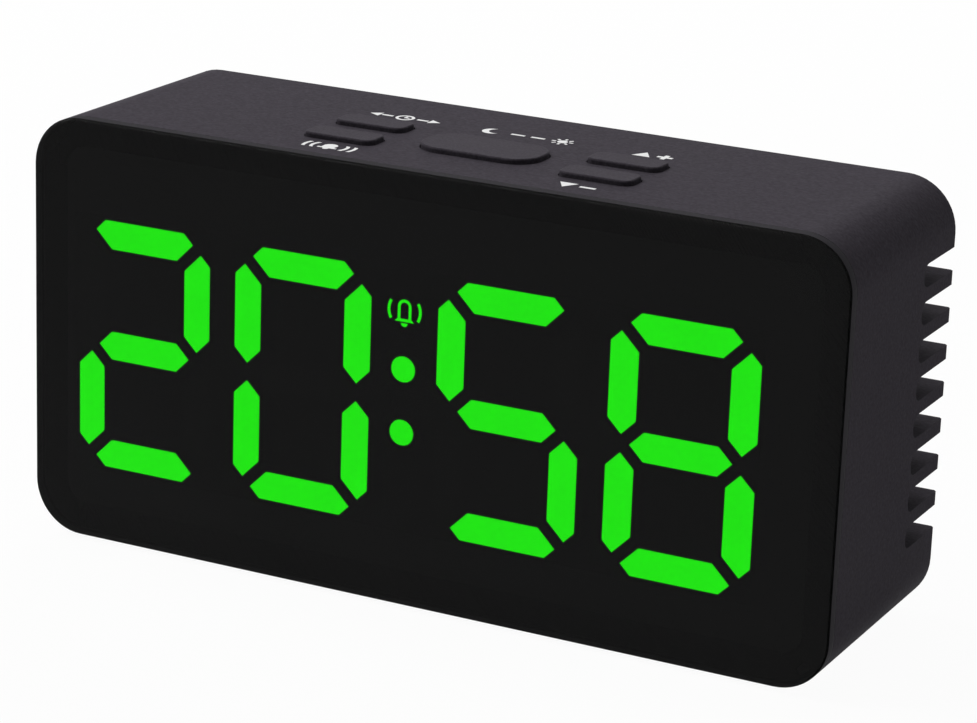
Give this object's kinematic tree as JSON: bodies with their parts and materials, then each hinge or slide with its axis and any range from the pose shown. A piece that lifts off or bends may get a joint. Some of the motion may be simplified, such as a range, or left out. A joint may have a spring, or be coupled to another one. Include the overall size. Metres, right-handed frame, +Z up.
{
  "type": "digital led desk clock",
  "caption": "Free-standing digital clock with a smoked front, green segment digits, top buttons, a finned back and a hinged battery door.",
  "frame": {"origin": "on the table, under the middle of the case", "axes": "+X to the viewer's right, the lens faces -Y, +Z up"},
  "size_m": [0.14, 0.044, 0.0716],
  "materials": {
    "lens": "smoked clear acrylic",
    "case": "fine matte charcoal moulding",
    "button": "fine matte charcoal moulding",
    "tape": "black foam adhesive",
    "reflector": "black face over a white light box",
    "lit_segment": "green diffusing resin, lit",
    "dark_segment": "smoked diffusing resin, unlit",
    "board": "green solder mask",
    "chip": "black epoxy",
    "led": "clear LED chip",
    "switch": "black nylon",
    "steel": "zinc plated",
    "nickel": "nickel plated spring steel",
    "pin": "gold flashed",
    "cell": "plain sleeved cell",
    "capacitor": "sleeved can",
    "red_lead": "red wire sleeve",
    "black_lead": "black wire sleeve",
    "foot": "black rubber"
  },
  "bodies": {
    "clock_body": {"front_lens": "lens", "lens_tape": "tape", "case_shell": "case", "rear_cover": "case", "display_reflector": "reflector", "colon_dots": "lit_segment", "alarm_symbol": "lit_segment", "segment_leds": "led", "display_board": "board", "display_board_screws": "steel", "controller_chip": "chip", "quartz_crystal": "steel", "smoothing_capacitor": "capacitor", "buzzer": "chip", "board_link_pins": "pin", "button_board": "board", "button_board_screws": "steel", "switch_bodies": "switch", "aaa_cells": "cell", "battery_positive_contact": "nickel", "battery_negative_contact": "nickel", "left_link_contact": "nickel", "right_link_contact": "nickel", "usb_socket": "steel", "usb_tongue": "chip", "usb_board": "board", "battery_lead_red": "red_lead", "battery_lead_black": "black_lead", "usb_lead_red": "red_lead", "usb_lead_black": "black_lead", "rear_cover_screws": "steel", "front_feet": "foot", "rear_feet": "foot", "hour_tens_lit_segments": "lit_segment", "hour_tens_dark_segments": "dark_segment", "hour_units_lit_segments": "lit_segment", "hour_units_dark_segments": "dark_segment", "minute_tens_lit_segments": "lit_segment", "minute_tens_dark_segments": "dark_segment", "minute_units_lit_segments": "lit_segment"},
    "door": {"battery_door": "case"},
    "mode_key": {"mode_button": "button", "mode_switch_plunger": "switch"},
    "alarm_key": {"alarm_button": "button", "alarm_switch_plunger": "switch"},
    "snooze_key": {"snooze_button": "button", "snooze_switch_plunger": "switch"},
    "up_key": {"up_button": "button", "up_switch_plunger": "switch"},
    "down_key": {"down_button": "button", "down_switch_plunger": "switch"}
  },
  "joints": [
    {"name": "battery_door_hinge", "type": "hinge", "parent": "clock_body", "child": "door", "pos_m": [0, 0.0211, 0.021], "axis": [-1, 0, 0], "range_deg": [0, 90]},
    {"name": "mode_press", "type": "slide", "parent": "clock_body", "child": "mode_key", "axis": [0, 0, -1], "range_m": [0, 0.0005], "stiffness_N_per_m": 2000, "springref_m": -0.0004},
    {"name": "alarm_press", "type": "slide", "parent": "clock_body", "child": "alarm_key", "axis": [0, 0, -1], "range_m": [0, 0.0005], "stiffness_N_per_m": 2000, "springref_m": -0.0004},
    {"name": "snooze_press", "type": "slide", "parent": "clock_body", "child": "snooze_key", "axis": [0, 0, -1], "range_m": [0, 0.0005], "stiffness_N_per_m": 2000, "springref_m": -0.0004},
    {"name": "up_press", "type": "slide", "parent": "clock_body", "child": "up_key", "axis": [0, 0, -1], "range_m": [0, 0.0005], "stiffness_N_per_m": 2000, "springref_m": -0.0004},
    {"name": "down_press", "type": "slide", "parent": "clock_body", "child": "down_key", "axis": [0, 0, -1], "range_m": [0, 0.0005], "stiffness_N_per_m": 2000, "springref_m": -0.0004}
  ]
}
